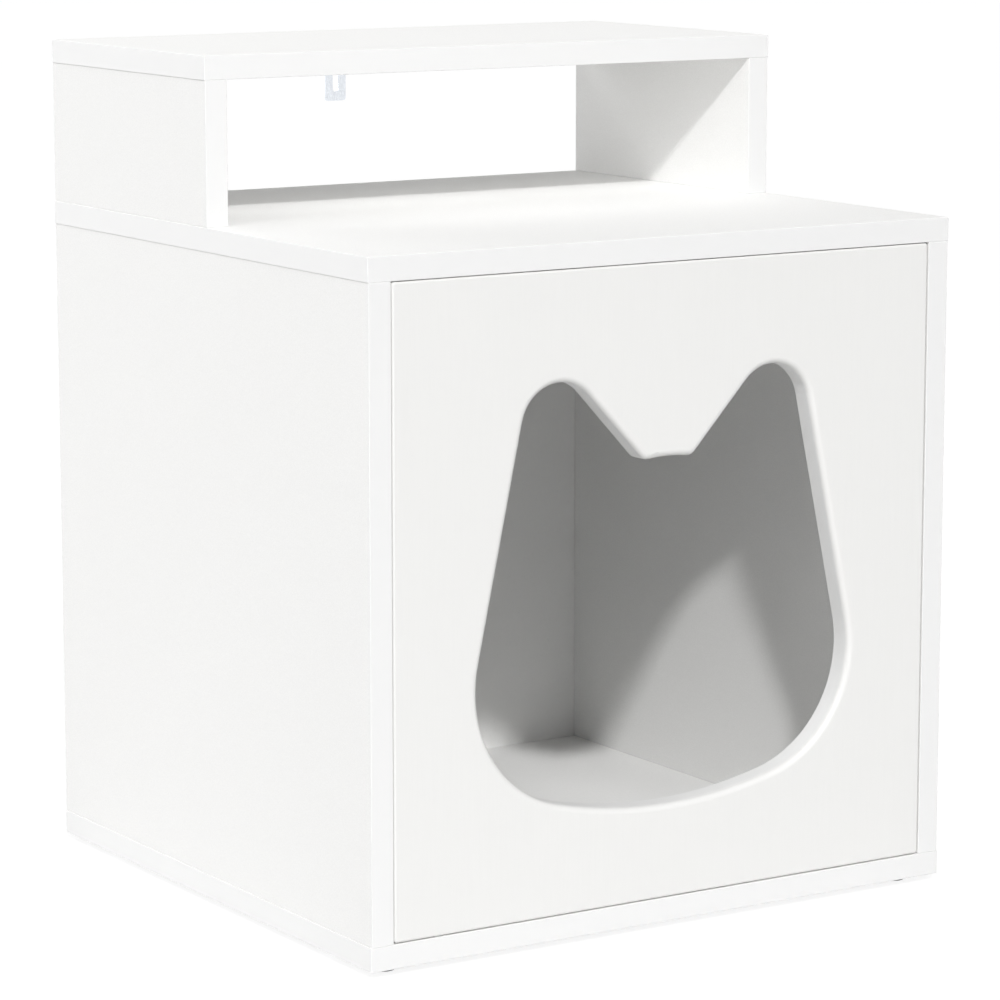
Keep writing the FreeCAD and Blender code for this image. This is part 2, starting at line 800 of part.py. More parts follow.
def make_catch_body():
    shell = block("catch_shell", ("catch_x - catch_width / 2", "catch_front",
                                  "table_low - catch_height"),
                  ("catch_width", "catch_depth", "catch_height"))
    plate = block("catch_plate", ("catch_x - catch_plate_width / 2", "catch_front",
                                  "table_low - catch_plate_thick"),
                  ("catch_plate_width", "catch_plate_depth", "catch_plate_thick"))
    solid = fused("catch_solid", [shell, plate])
    pocket = block("catch_pocket", ("catch_x - pole_width / 2 - seat_clearance",
                                    "catch_front - cut_overrun",
                                    "catch_z - stack_half - seat_clearance"),
                   ("pole_width + 2 * seat_clearance", "magnet_depth + cut_overrun",
                    "2 * stack_half + 2 * seat_clearance"))
    bores = [
        cutter("catch_bore_%d" % step,
               drill((x, y, "table_low - catch_plate_thick"), "+z", "small_screw_dia",
                     "catch_plate_thick + cut_overrun"))
        for step, (x, y) in enumerate(CATCH_SCREW_SPOTS)
    ]
    return cut("catch_body", solid, [pocket] + bores)


def make_catch_magnet():
    return block("catch_magnet", ("catch_x - pole_width / 2", "catch_front",
                                  "catch_z - magnet_height / 2"),
                 ("pole_width", "magnet_depth", "magnet_height"))


def make_catch_poles():
    """Two steel pole plates, one on each face of the magnet, a little proud of the shell."""
    size = ("pole_width", "magnet_depth + pole_proud", "pole_thick")
    lower = block("lower_pole", ("catch_x - pole_width / 2", "pole_front",
                                 "catch_z - stack_half"), size)
    upper = block("upper_pole", ("catch_x - pole_width / 2", "pole_front",
                                 "catch_z + magnet_height / 2"), size)
    poles = doc.addObject("Part::Compound", "catch_poles")
    poles.Links = [lower, upper]
    doc.recompute()
    return poles


def make_strike_plate():
    blank = board("strike_plate", ("catch_x - strike_width / 2", "door_rear",
                                   "catch_z - strike_height / 2"),
                  ("strike_width", "strike_thick", "strike_height"), "thin_round")
    bores = [drill((x, "door_rear + strike_thick", z), "-y", "small_screw_dia",
                   "strike_thick + cut_overrun") for x, z in STRIKE_SCREW_SPOTS]
    return drilled("strike_plate", blank, bores)


def small_screw(label):
    """A pan-head screw along +Z, seated under its head at the origin."""
    return turned(label, [
        ("0", "small_recess_depth - small_head_height"),
        ("small_recess_dia / 2", "small_recess_depth - small_head_height"),
        ("small_recess_dia / 2", "-small_head_height"),
        ("small_head_dia / 2 * head_crown_share", "-small_head_height"),
        ("small_head_dia / 2", "-small_head_height / 2"),
        ("small_head_dia / 2", "0"),
        ("small_screw_dia / 2", "0"),
        ("small_screw_dia / 2", "small_screw_length - small_tip"),
        ("0", "small_screw_length"),
    ])


def make_small_screws():
    """The pan-head screws of the catch, of the strike plate and of the wall angle."""
    master = small_screw("small_screw")
    under_catch = [(x, y, "table_low - catch_plate_thick") for x, y in CATCH_SCREW_SPOTS]
    on_strike = [(x, "door_rear + strike_thick", z) for x, z in STRIKE_SCREW_SPOTS]
    under_angle = [(x, y, "shelf_low - angle_thick") for x, y in ANGLE_SCREW_SPOTS]
    return [
        copies("catch_screws", master, under_catch),
        copies("strike_screws", master, on_strike, ("-y",)),
        copies("wall_angle_screws", master, under_angle),
    ]


# Wall angle under the riser shelf

def at_bend(edge, depth):
    """Whether an edge lies along the angle's bend, that deep inside its outer corner."""
    near = sheet.angle_thick / 2
    middle = edge.CenterOfMass
    inside = abs(middle.y + depth) < near and abs(middle.z + depth) < near
    return inside and runs_along(edge, "x")


def at_end_corner(edge):
    """Whether an edge runs through the steel at the free end of one of the angle's legs."""
    near = sheet.angle_thick / 2
    middle = edge.CenterOfMass
    drop_end = runs_along(edge, "y") and middle.z < near - sheet.angle_drop
    reach_end = runs_along(edge, "z") and middle.y < near - sheet.angle_reach
    return drop_end or reach_end


def make_wall_angle():
    body = doc.addObject("PartDesign::Body", "wall_angle")
    section = polygon(body, "angle_section", "YZ_Plane", [
        ("0", "0"),
        ("0", "-angle_drop"),
        ("-angle_thick", "-angle_drop"),
        ("-angle_thick", "-angle_thick"),
        ("-angle_reach", "-angle_thick"),
        ("-angle_reach", "0"),
    ])
    pad = padded(body, section, "angle_width")
    pad.SideType = "Symmetric"
    doc.recompute()
    rounded(body, "angle_bend_inside", "angle_bend",
            lambda edge: at_bend(edge, sheet.angle_thick))
    rounded(body, "angle_bend_outside", "angle_bend + angle_thick",
            lambda edge: at_bend(edge, 0))
    rounded(body, "angle_end_corners", "angle_corner", at_end_corner)
    place(body, ("0", "rear", "shelf_low"))
    slot = [
        cutter("slot_foot", drill(("0", "rear", "slot_low"), "-y", "angle_slot_width",
                                  "angle_thick + cut_overrun")),
        cutter("slot_head", drill(("0", "rear", "slot_high"), "-y", "angle_slot_width",
                                  "angle_thick + cut_overrun")),
        block("slot_middle", ("-angle_slot_width / 2 - seat_clearance",
                              "rear - angle_thick - cut_overrun", "slot_low"),
              ("angle_slot_width + 2 * seat_clearance", "angle_thick + 2 * cut_overrun",
               "slot_high - slot_low")),
    ]
    bores = [
        cutter("angle_bore_%d" % step,
               drill((x, y, "shelf_low - angle_thick"), "+z", "small_screw_dia",
                     "angle_thick + cut_overrun"))
        for step, (x, y) in enumerate(ANGLE_SCREW_SPOTS)
    ]
    return cut("wall_angle", body, slot + bores)


# Feet

def make_feet():
    """Four glides, each with a recess below for its nail."""
    feet = []
    for label, (x, y) in FOOT_SPOTS.items():
        foot = turned(label, [
            ("foot_nail_dia / 2 + seat_clearance", "foot_recess_depth"),
            ("foot_recess_dia / 2", "foot_recess_depth"),
            ("foot_recess_dia / 2", "0"),
            ("foot_dia / 2 - foot_chamfer", "0"),
            ("foot_dia / 2", "foot_chamfer"),
            ("foot_dia / 2", "foot_height"),
            ("foot_nail_dia / 2 + seat_clearance", "foot_height"),
        ])
        place(foot, (x, y, "0"))
        feet.append(foot)
    return feet


def make_foot_nails():
    nail = turned("foot_nail", [
        ("0", "-foot_nail_head"),
        ("foot_nail_head_dia / 2", "-foot_nail_head"),
        ("foot_nail_head_dia / 2", "0"),
        ("foot_nail_dia / 2", "0"),
        ("foot_nail_dia / 2", "foot_height - foot_recess_depth + foot_nail_grip - nail_tip"),
        ("0", "foot_height - foot_recess_depth + foot_nail_grip"),
    ])
    return copies("foot_nails", nail, [(x, y, "foot_recess_depth") for x, y in FOOT_SPOTS.values()])


# Fittings that hold the boards together

def make_cam_locks():
    """Round cams with a driver's cross on the face, throat towards the bolt above."""
    barrel = doc.addObject("Part::Cylinder", "cam_barrel")
    bind(barrel, Radius="cam_dia / 2", Height="cam_length")
    throat = doc.addObject("Part::Cylinder", "cam_throat")
    bind(throat, Radius="cam_throat_dia / 2", Height="cam_dia / 2 + cam_throat_past + cut_overrun")
    place(throat, ("-cam_throat_past", "0", "cam_length - board_thick / 2"), POINTING["+x"])
    cross = [
        block("cam_slot_across", ("-cam_slot_length / 2", "-cam_slot_width / 2",
                                  "cam_length - cam_slot_depth"),
              ("cam_slot_length", "cam_slot_width", "cam_slot_depth + cut_overrun")),
        block("cam_slot_along", ("-cam_slot_width / 2", "-cam_slot_length / 2",
                                 "cam_length - cam_slot_depth"),
              ("cam_slot_width", "cam_slot_length", "cam_slot_depth + cut_overrun")),
    ]
    cam = cut("cam", barrel, [throat] + cross)
    spots = []
    turns = []
    for side in BOTH:
        for y in CAM_YS:
            spots.append(("%s(panel_in + cam_length)" % SIDES[side], y, "cam_z"))
            turns.append(side + " cam")
    return copies("cam_locks", cam, spots, turns)


def make_cam_bolts():
    """Bolts screwed up into the table top, whose heads hang in the cams."""
    head_top = "bolt_head_length / 2 - cam_setback"
    bolt = turned("cam_bolt", [
        ("0", "-bolt_head_length / 2 - cam_setback"),
        ("bolt_head_dia / 2", "-bolt_head_length / 2 - cam_setback"),
        ("bolt_head_dia / 2", head_top),
        ("bolt_neck_dia / 2", head_top),
        ("bolt_neck_dia / 2", head_top + " + bolt_neck_length"),
        ("bolt_dia / 2", head_top + " + bolt_neck_length"),
        ("bolt_dia / 2", "0"),
        ("bolt_thread_dia / 2", "0"),
        ("bolt_thread_dia / 2", "bolt_thread"),
        ("0", "bolt_thread"),
    ])
    return copies("cam_bolts", bolt, over_panels(BOTH, CAM_YS, "table_low"))


def make_dowels():
    """Wooden dowels, sunk in the face of one board and in the edge of the other."""
    dowel = turned("dowel", [
        ("0", "dowel_sunk - dowel_length"),
        ("dowel_dia / 2 - dowel_chamfer", "dowel_sunk - dowel_length"),
        ("dowel_dia / 2", "dowel_sunk - dowel_length + dowel_chamfer"),
        ("dowel_dia / 2", "dowel_sunk - dowel_chamfer"),
        ("dowel_dia / 2 - dowel_chamfer", "dowel_sunk"),
        ("0", "dowel_sunk"),
    ])
    return [
        copies("floor_dowels", dowel, over_panels(BOTH, DOWEL_YS, "floor_top"), ("-z",)),
        copies("table_dowels", dowel, over_panels(BOTH, DOWEL_YS, "table_low")),
        copies("shelf_dowels", dowel, over_panels(BOTH, SHELF_DOWEL_YS, "shelf_low")),
    ]


def sunk_screw(screw):
    """A sunk-head screw along +Z with a driver's recess, its face at the origin."""
    drive = "%s_head_dia / 2 * drive_share" % screw
    return turned(screw, [
        ("0", "%s_head * drive_depth_share" % screw),
        (drive, "%s_head * drive_depth_share" % screw),
        (drive, "0"),
        ("%s_head_dia / 2" % screw, "0"),
        ("%s_dia / 2" % screw, "%s_head" % screw),
        ("%s_dia / 2" % screw, "%s_length - %s_tip" % (screw, screw)),
        ("0", "%s_length" % screw),
    ])


def make_board_screws():
    """Screws up through the floor board into the sides, and through the table into the riser."""
    return [
        copies("floor_screws", sunk_screw("floor_screw"),
               over_panels(BOTH, CAM_YS, "foot_height")),
        copies("riser_screws", sunk_screw("riser_screw"),
               over_panels(BOTH, RISER_SCREW_YS, "table_low")),
    ]


def make_back_nails():
    nail = turned("back_nail", [
        ("0", "0"),
        ("back_nail_head_dia / 2", "0"),
        ("back_nail_head_dia / 2", "back_nail_head"),
        ("back_nail_dia / 2", "back_nail_head"),
        ("back_nail_dia / 2", "back_nail_length - nail_tip"),
        ("0", "back_nail_length"),
    ])
    return copies("back_nails", nail, back_nail_spots(), ("-y",))


def make_all():
    """Every sub-part of the house."""
    lower_seat = ("pivot_x", "pivot_y", "floor_top")
    upper_seat = ("pivot_x", "pivot_y", "table_low")
    parts = [make_floor_board(), make_table_top(), make_riser_shelf(), make_back_panel()]
    for side in BOTH:
        parts += [make_side_panel(side), make_riser_panel(side)]
    parts += [
        make_cat_door(),
        make_pivot_pin("lower_pivot_pin", "door_bottom_gap",
                       ("pivot_x", "pivot_y", "door_low"), "+z"),
        make_pivot_pin("upper_pivot_pin", "door_top_gap",
                       ("pivot_x", "pivot_y", "door_high"), "-z"),
        make_pivot_bush("lower_pivot_bush", "door_bottom_gap", lower_seat, "+z"),
        make_pivot_bush("upper_pivot_bush", "upper_flange_thick", upper_seat, "-z"),
        make_catch_body(),
        make_catch_magnet(),
        make_catch_poles(),
        make_strike_plate(),
        make_wall_angle(),
        make_foot_nails(),
        make_cam_locks(),
        make_cam_bolts(),
        make_back_nails(),
    ]
    return parts + make_small_screws() + make_feet() + make_dowels() + make_board_screws()


def check(parts):
    """Stop if any object of the document failed, or a sub-part has no valid solid."""
    for item in doc.Objects:
        if "Invalid" in item.State or "Error" in item.State:
            raise RuntimeError("%s failed: %s" % (item.Label, item.State))
    for part in parts:
        if part.Shape.isNull() or not part.Shape.isValid() or not part.Shape.Solids:
            raise RuntimeError("%s has no valid solid" % part.Label)


def main():
    parts = make_all()
    doc.recompute()
    check(parts)
    os.makedirs("parts", exist_ok=True)
    for part in parts:
        part.Shape.exportStep(os.path.join("parts", part.Label + ".step"))
    print("%d sub-parts, %d solids" % (len(parts), sum(len(part.Shape.Solids) for part in parts)))


main()
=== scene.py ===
import json
import math

import bmesh
import bpy
from mathutils import Matrix, Vector

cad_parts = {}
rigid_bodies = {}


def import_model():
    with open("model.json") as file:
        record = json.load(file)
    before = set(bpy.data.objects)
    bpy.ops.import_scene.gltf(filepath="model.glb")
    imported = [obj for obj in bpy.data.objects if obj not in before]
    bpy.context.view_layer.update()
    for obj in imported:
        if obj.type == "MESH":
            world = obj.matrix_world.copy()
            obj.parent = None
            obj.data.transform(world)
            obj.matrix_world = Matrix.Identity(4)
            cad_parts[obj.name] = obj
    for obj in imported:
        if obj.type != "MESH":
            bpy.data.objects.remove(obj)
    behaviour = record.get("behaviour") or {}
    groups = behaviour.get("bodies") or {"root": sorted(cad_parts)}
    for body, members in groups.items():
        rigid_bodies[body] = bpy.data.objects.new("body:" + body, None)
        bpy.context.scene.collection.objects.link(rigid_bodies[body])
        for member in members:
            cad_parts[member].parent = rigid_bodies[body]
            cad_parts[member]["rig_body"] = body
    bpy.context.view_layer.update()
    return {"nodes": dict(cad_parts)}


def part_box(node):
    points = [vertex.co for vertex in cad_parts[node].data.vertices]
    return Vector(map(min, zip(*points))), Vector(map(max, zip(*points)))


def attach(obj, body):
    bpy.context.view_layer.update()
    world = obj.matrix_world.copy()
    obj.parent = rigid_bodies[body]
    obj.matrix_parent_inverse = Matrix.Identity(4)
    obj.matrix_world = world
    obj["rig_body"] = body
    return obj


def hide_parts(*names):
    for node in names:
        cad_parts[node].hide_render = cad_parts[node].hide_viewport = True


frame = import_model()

# The cat house in white boards, with its door, riser, glides and fittings. Metres, +Z up,
# the door faces -Y.

NODES = frame["nodes"]
X, Y = 0, 1

BOARDS = ("floor_board", "left_side_panel", "right_side_panel", "table_top",
          "left_riser_panel", "right_riser_panel", "riser_shelf")
GLIDES = ("front_left_foot", "front_right_foot", "rear_left_foot", "rear_right_foot")
BUSHES = ("lower_pivot_bush", "upper_pivot_bush")
DOWELS = ("floor_dowels", "table_dowels", "shelf_dowels")
PLATED = ("lower_pivot_pin", "upper_pivot_pin", "catch_poles", "strike_plate", "wall_angle",
          "foot_nails", "back_nails", "cam_locks", "cam_bolts")

# Colours of the finishes, as linear values
BOARD_WHITE = (0.932, 0.930, 0.920)
# The band white below is darker than the coat and the end bands: painted shade on every edge band
# but those of the left and right ends
BAND_WHITE_PAINTED_SHADE = (0.805, 0.805, 0.803)
END_WHITE = (0.905, 0.905, 0.902)
DOOR_WHITE = (0.780, 0.778, 0.766)
# The rim white below is painted light: a lighter white on the door's edges, doorway jamb and rear
RIM_WHITE_PAINTED_LIGHT = (0.930, 0.930, 0.924)
BACK_WHITE = (0.930, 0.928, 0.918)
CATCH_WHITE = (0.80, 0.80, 0.78)
NYLON_GREY = (0.40, 0.40, 0.41)
GLIDE_GREY = (0.19, 0.19, 0.195)
ZINC_BRIGHT = (0.86, 0.895, 0.945)
ZINC_DULL = (0.82, 0.855, 0.905)
BEECH_DARK = (0.50, 0.30, 0.15)
BEECH_PALE = (0.66, 0.44, 0.25)
BEECH_FLECK = (0.36, 0.20, 0.10)
FERRITE_DARK = (0.012, 0.012, 0.013)
FERRITE_PALE = (0.03, 0.03, 0.032)

# The boards' edge bands, their glue seam and their eased edges
BAND_THICK = 0.0009
SEAM_HALF = 0.00012
SEAM_SHADE = 0.92
EDGE_ROUND = 0.0004

# The boards are nearly matt, and their bands a little smoother
BOARD_SPECULAR = 0.03
BOARD_ROUGH = (0.60, 0.70)
BAND_POLISH = 0.08

# How far behind the door's front the painted light on its rim, doorway jamb and rear begins and
# is full
RIM_START = 0.0024
RIM_FULL = 0.0040

# The limits that most of a noise pattern lies between, and where its marks begin and are full
NOISE_LOW = 0.3
NOISE_HIGH = 0.7
SPOT_LOW = 0.35
FLECK_LOW = 0.6
FIBRE_LOW = 0.55
FIBRE_HIGH = 0.75

# How dark specks, fibres and draw lines are, how deep the lines are beside the foil's orange
# peel, and how far the plastics' roughness swings
FLECK_SHADE = 0.95
LINE_SHADE = 0.99
LINE_DEPTH_SHARE = 0.4
PLASTIC_SWING = 0.08


# Small helpers for shader nodes

def new_finish(name):
    """A material with a bare shader, and its node tree."""
    material = bpy.data.materials.new(name)
    material.use_nodes = True
    tree = material.node_tree
    return material, tree, tree.nodes["Principled BSDF"]


def add(tree, kind, **settings):
    """A node of a tree, with its properties set."""
    node = tree.nodes.new(kind)
    for name, value in settings.items():
        setattr(node, name, value)
    return node


def feed(tree, source, target):
    """Set a socket to a number or colour, or link it to another node's output."""
    if hasattr(source, "links"):
        tree.links.new(source, target)
    else:
        target.default_value = source


def sums(tree, operation, *values):
    """A Math node on numbers or outputs."""
    node = add(tree, "ShaderNodeMath", operation=operation)
    for socket, value in zip(node.inputs, values):
        feed(tree, value, socket)
    return node.outputs[0]


def between(tree, value, low, high, out_low=0.0, out_high=1.0):
    """A smooth change from one number to another as a value runs between two limits."""
    node = add(tree, "ShaderNodeMapRange", interpolation_type="SMOOTHSTEP")
    for socket, number in zip(node.inputs, (value, low, high, out_low, out_high)):
        feed(tree, number, socket)
    return node.outputs[0]


def along(tree, where, axis):
    """One of a place's three coordinates."""
    parts = add(tree, "ShaderNodeSeparateXYZ")
    feed(tree, where, parts.inputs[0])
    return parts.outputs[axis]


def shade(colour, share):
    """A colour made lighter or darker by a share."""
    return tuple(part * share for part in colour)


def blended(tree, share, first, second):
    """A colour between two others."""
    node = add(tree, "ShaderNodeMix", data_type="RGBA")
    feed(tree, share, node.inputs["Factor"])
    for socket, colour in ((node.inputs[6], first), (node.inputs[7], second)):
        feed(tree, (*colour, 1) if isinstance(colour, tuple) else colour, socket)
    return node.outputs[2]


def place_in(tree, centre=(0, 0, 0), stretch=(1, 1, 1)):
    """A piece's own coordinates, from a centre, stretched along each axis."""
    source = add(tree, "ShaderNodeTexCoord").outputs["Object"]
    mapping = add(tree, "ShaderNodeMapping")
    feed(tree, source, mapping.inputs["Vector"])
    mapping.inputs["Location"].default_value = [-c * s for c, s in zip(centre, stretch)]
    mapping.inputs["Scale"].default_value = stretch
    return mapping.outputs[0]


def grain(tree, where, waves, detail=3.0, rough=0.55):
    """Noise with a number of waves per metre."""
    node = add(tree, "ShaderNodeTexNoise")
    feed(tree, where, node.inputs["Vector"])
    node.inputs["Scale"].default_value = waves
    node.inputs["Detail"].default_value = detail
    node.inputs["Roughness"].default_value = rough
    return node.outputs[0]


def clouded(tree, where, colour, waves, low, high, detail=4.0):
    """A colour that drifts between two shares of itself in soft clouds."""
    cloud = grain(tree, where, waves, detail)
    return blended(tree, cloud, shade(colour, low), shade(colour, high))


def glossed(tree, shader, pattern, low, high):
    """Let a shader's roughness follow a noise pattern between two limits."""
    rough = between(tree, pattern, NOISE_LOW, NOISE_HIGH, low, high)
    feed(tree, rough, shader.inputs["Roughness"])


def dented(tree, shader, height, depth, strength):
    """Give a shader relief from a height between 0 and 1, over a depth in metres."""
    bump = add(tree, "ShaderNodeBump")
    bump.inputs["Strength"].default_value = strength
    bump.inputs["Distance"].default_value = depth
    feed(tree, height, bump.inputs["Height"])
    feed(tree, bump.outputs[0], shader.inputs["Normal"])


# Finishes

def depth_in(tree, where, half, axis):
    """How far a point of a board lies inside the board's two ends along an axis."""
    return sums(tree, "SUBTRACT", half[axis], sums(tree, "ABSOLUTE", along(tree, where, axis)))


def coated_board(node):
    """Coated chipboard: a fine pearl grain on its faces, smooth bands round its edges.

    A hairline glue seam runs where the bands meet the faces. The bands on the left and right ends
    are a brighter white; the darker white of the other bands is painted shade on those edges."""
    low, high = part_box(node)
    half = (high - low) / 2
    thin = min(range(3), key=lambda axis: half[axis])
    material, tree, shader = new_finish(node + "_coating")
    where = place_in(tree, (low + high) / 2)
    depths = {axis: depth_in(tree, where, half, axis) for axis in range(3) if axis != thin}
    depth = sums(tree, "MINIMUM", *depths.values())
    on_face = between(tree, depth, BAND_THICK - SEAM_HALF, BAND_THICK)
    from_seam = sums(tree, "ABSOLUTE", sums(tree, "SUBTRACT", depth, BAND_THICK))
    off_seam = between(tree, from_seam, 0.0, SEAM_HALF)

    speck = between(tree, grain(tree, where, waves=1500.0, detail=1.0), SPOT_LOW, NOISE_HIGH)
    coat = clouded(tree, where, BOARD_WHITE, waves=7.0, low=0.988, high=1.008)
    coat = blended(tree, speck, shade(BOARD_WHITE, FLECK_SHADE), coat)
    # Away from the left and right ends the band takes the darker band white, which is painted
    # shade on those edges
    band = BAND_WHITE_PAINTED_SHADE
    if X in depths:
        band = blended(tree, between(tree, depths[X], 0.0, EDGE_ROUND), END_WHITE, BAND_WHITE_PAINTED_SHADE)
    skin = blended(tree, between(tree, depth, 0.0, EDGE_ROUND), band, coat)
    skin = blended(tree, off_seam, shade(BOARD_WHITE, SEAM_SHADE), skin)
    feed(tree, skin, shader.inputs["Base Color"])

    pearl = grain(tree, where, waves=620.0, detail=2.0)
    face_rough = between(tree, pearl, NOISE_LOW, NOISE_HIGH, *BOARD_ROUGH)
    polish = sums(tree, "MULTIPLY", sums(tree, "SUBTRACT", 1.0, on_face), BAND_POLISH)
    feed(tree, sums(tree, "SUBTRACT", face_rough, polish), shader.inputs["Roughness"])
    shader.inputs["Specular IOR Level"].default_value = BOARD_SPECULAR
    dented(tree, shader, sums(tree, "MULTIPLY", pearl, on_face), depth=0.00006, strength=0.5)
    return material


def wrapped_door(node):
    """Fibreboard in white foil: faint draw lines and a satin front, with a lighter white on its
    edges, doorway jamb and rear that is painted light.
    """
    low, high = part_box(node)
    centre = (low + high) / 2
    material, tree, shader = new_finish("door_foil")
    where = place_in(tree, centre)
    drawn = grain(tree, place_in(tree, centre, stretch=(1, 1, 0.03)), waves=900.0, detail=2.0)
    lines = between(tree, drawn, NOISE_LOW, NOISE_HIGH)
    foil = clouded(tree, where, DOOR_WHITE, waves=6.0, low=0.988, high=1.008)
    foil = blended(tree, lines, shade(DOOR_WHITE, LINE_SHADE), foil)
    behind_front = sums(tree, "ADD", along(tree, where, Y), (high.y - low.y) / 2)
    # Behind the front, the door's edges, doorway jamb and rear turn to the lighter rim white,
    # which is painted light
    rim = between(tree, behind_front, RIM_START, RIM_FULL)
    feed(tree, blended(tree, rim, foil, RIM_WHITE_PAINTED_LIGHT), shader.inputs["Base Color"])

    orange_peel = grain(tree, where, waves=260.0, detail=2.0)
    glossed(tree, shader, orange_peel, low=0.36, high=0.46)
    relief = sums(tree, "ADD", sums(tree, "MULTIPLY", drawn, LINE_DEPTH_SHARE), orange_peel)
    dented(tree, shader, relief, depth=0.00005, strength=0.35)
    return material


def painted_hardboard():
    """Thin hardboard, painted white: short fibres under the paint."""
    material, tree, shader = new_finish("hardboard_paint")
    fibre = grain(tree, place_in(tree, stretch=(1, 1, 0.35)), waves=750.0, detail=4.0, rough=0.65)
    paint = clouded(tree, place_in(tree), BACK_WHITE, waves=11.0, low=0.98, high=1.01)
    showing = between(tree, fibre, FIBRE_LOW, FIBRE_HIGH)
    paint = blended(tree, showing, paint, shade(BACK_WHITE, FLECK_SHADE))
    feed(tree, paint, shader.inputs["Base Color"])
    glossed(tree, shader, fibre, low=0.55, high=0.7)
    dented(tree, shader, fibre, depth=0.00012, strength=0.5)
    return material


def zinc_plate():
    """Zinc-plated steel: a bluish white metal with fine drawn lines and dull spots."""
    material, tree, shader = new_finish("zinc_plate")
    drawn = grain(tree, place_in(tree, stretch=(1, 1, 0.06)), waves=2600.0, detail=2.0)
    spots = grain(tree, place_in(tree), waves=340.0, detail=4.0)
    metal = blended(tree, between(tree, spots, SPOT_LOW, NOISE_HIGH), ZINC_BRIGHT, ZINC_DULL)
    feed(tree, metal, shader.inputs["Base Color"])
    shader.inputs["Metallic"].default_value = 1.0
    glossed(tree, shader, drawn, low=0.22, high=0.32)
    dented(tree, shader, drawn, depth=0.00001, strength=0.3)
    return material


def moulded_plastic(name, colour, rough, waves):
    """Moulded plastic with a fine spark-eroded grain."""
    material, tree, shader = new_finish(name)
    where = place_in(tree)
    pits = grain(tree, where, waves)
    tint = clouded(tree, where, colour, waves=60.0, low=0.93, high=1.06, detail=3.0)
    feed(tree, tint, shader.inputs["Base Color"])
    glossed(tree, shader, pits, low=rough - PLASTIC_SWING, high=rough + PLASTIC_SWING)
    dented(tree, shader, pits, depth=0.00006, strength=0.6)
    return material


def bare_beech():
    """Beech with its long grain up and down and short dark flecks."""
    material, tree, shader = new_finish("bare_beech")
    rings = grain(tree, place_in(tree, stretch=(1, 1, 0.05)), waves=900.0, detail=4.0)
    flecks = grain(tree, place_in(tree, stretch=(1, 1, 0.15)), waves=2200.0, detail=2.0)
    wood = blended(tree, rings, BEECH_DARK, BEECH_PALE)
    wood = blended(tree, between(tree, flecks, FLECK_LOW, NOISE_HIGH), wood, BEECH_FLECK)
    feed(tree, wood, shader.inputs["Base Color"])
    glossed(tree, shader, rings, low=0.55, high=0.7)
    dented(tree, shader, rings, depth=0.0001, strength=0.5)
    return material


def pressed_ferrite():
    """The catch's magnet: a dull dark grey with a fine sintered grain."""
    material, tree, shader = new_finish("pressed_ferrite")
    grains = grain(tree, place_in(tree), waves=1800.0, detail=4.0, rough=0.7)
    feed(tree, blended(tree, grains, FERRITE_DARK, FERRITE_PALE), shader.inputs["Base Color"])
    glossed(tree, shader, grains, low=0.55, high=0.75)
    dented(tree, shader, grains, depth=0.00008, strength=0.5)
    return material


def wear(node, material):
    """Give a solid of the frame its finish."""
    slots = NODES[node].data.materials
    slots.clear()
    slots.append(material)


ZINC = zinc_plate()
NYLON = moulded_plastic("grey_nylon", NYLON_GREY, rough=0.45, waves=1400.0)
CATCH_PLASTIC = moulded_plastic("white_catch_plastic", CATCH_WHITE, rough=0.40, waves=1600.0)
GLIDE_PLASTIC = moulded_plastic("grey_glide_plastic", GLIDE_GREY, rough=0.50, waves=1200.0)
BEECH = bare_beech()

for board in BOARDS:
    wear(board, coated_board(board))
wear("cat_door", wrapped_door("cat_door"))
wear("back_panel", painted_hardboard())
wear("catch_magnet", pressed_ferrite())
for group, finish in ((BUSHES, NYLON), (GLIDES, GLIDE_PLASTIC), (DOWELS, BEECH), (PLATED, ZINC)):
    for node in group:
        wear(node, finish)


# Fittings with rounded edges and real driver recesses

TURN_STEPS = 40
MERGE_WITHIN = 1e-7
BEVEL_SEGMENTS = 4
SHARP_ANGLE = math.radians(32)
FLAT = Matrix.Identity(4)
TOWARDS_FRONT = Matrix.Rotation(math.radians(90), 4, "X")

# Pan-head screws: the crown runs from its middle to its rim, as radius and height
PAN_RADIUS = 0.0028
PAN_HEIGHT = 0.0018
PAN_CROWN = ((0, PAN_HEIGHT), (0.0014, 0.00177), (0.0021, 0.00155), (0.00255, 0.0011),
             (PAN_RADIUS, 0.0005))
PAN_SHANK = 0.0015
PAN_SHANK_LENGTH = 0.009
PAN_LENGTH = 0.012
PAN_LAYOUTS = {
    "catch_screws": {"columns": 2},
    "strike_screws": {"columns": 2, "turn": TOWARDS_FRONT},
    "wall_angle_screws": {"rows": 2},
}

# Sunk screws: head radii, the eased rim of a head and the length of a point
FLOOR_HEAD = 0.005
RISER_HEAD = 0.004
RIM_EASE = 0.00025
RIM_HEIGHT = 0.0002
POINT_LENGTH = 0.005
CROSS_TAPER = (0.45, 0.6, 1)

# The magnetic catch's shell, ears and pocket
SHELL_HALF = 0.012
SHELL_ROUND = 0.0014
EAR_THICK = 0.0025
EAR_DEPTH = 0.012
EAR_ROUND = 0.004
POCKET_PLAY = 0.00005
POCKET_OVERCUT = 0.002


def turned_form(section):
    """A turned shape about +Z from its half section, closed on the axis at both ends."""
    form = bmesh.new()
    rim = [form.verts.new((radius, 0, height)) for radius, height in section]
    edges = [form.edges.new(pair) for pair in zip(rim, rim[1:])]
    bmesh.ops.spin(form, geom=rim + edges, cent=(0, 0, 0), axis=(0, 0, 1), angle=math.tau,
                   steps=TURN_STEPS, use_merge=True, use_duplicate=False)
    bmesh.ops.remove_doubles(form, verts=form.verts, dist=MERGE_WITHIN)
    bmesh.ops.recalc_face_normals(form, faces=form.faces)
    return form


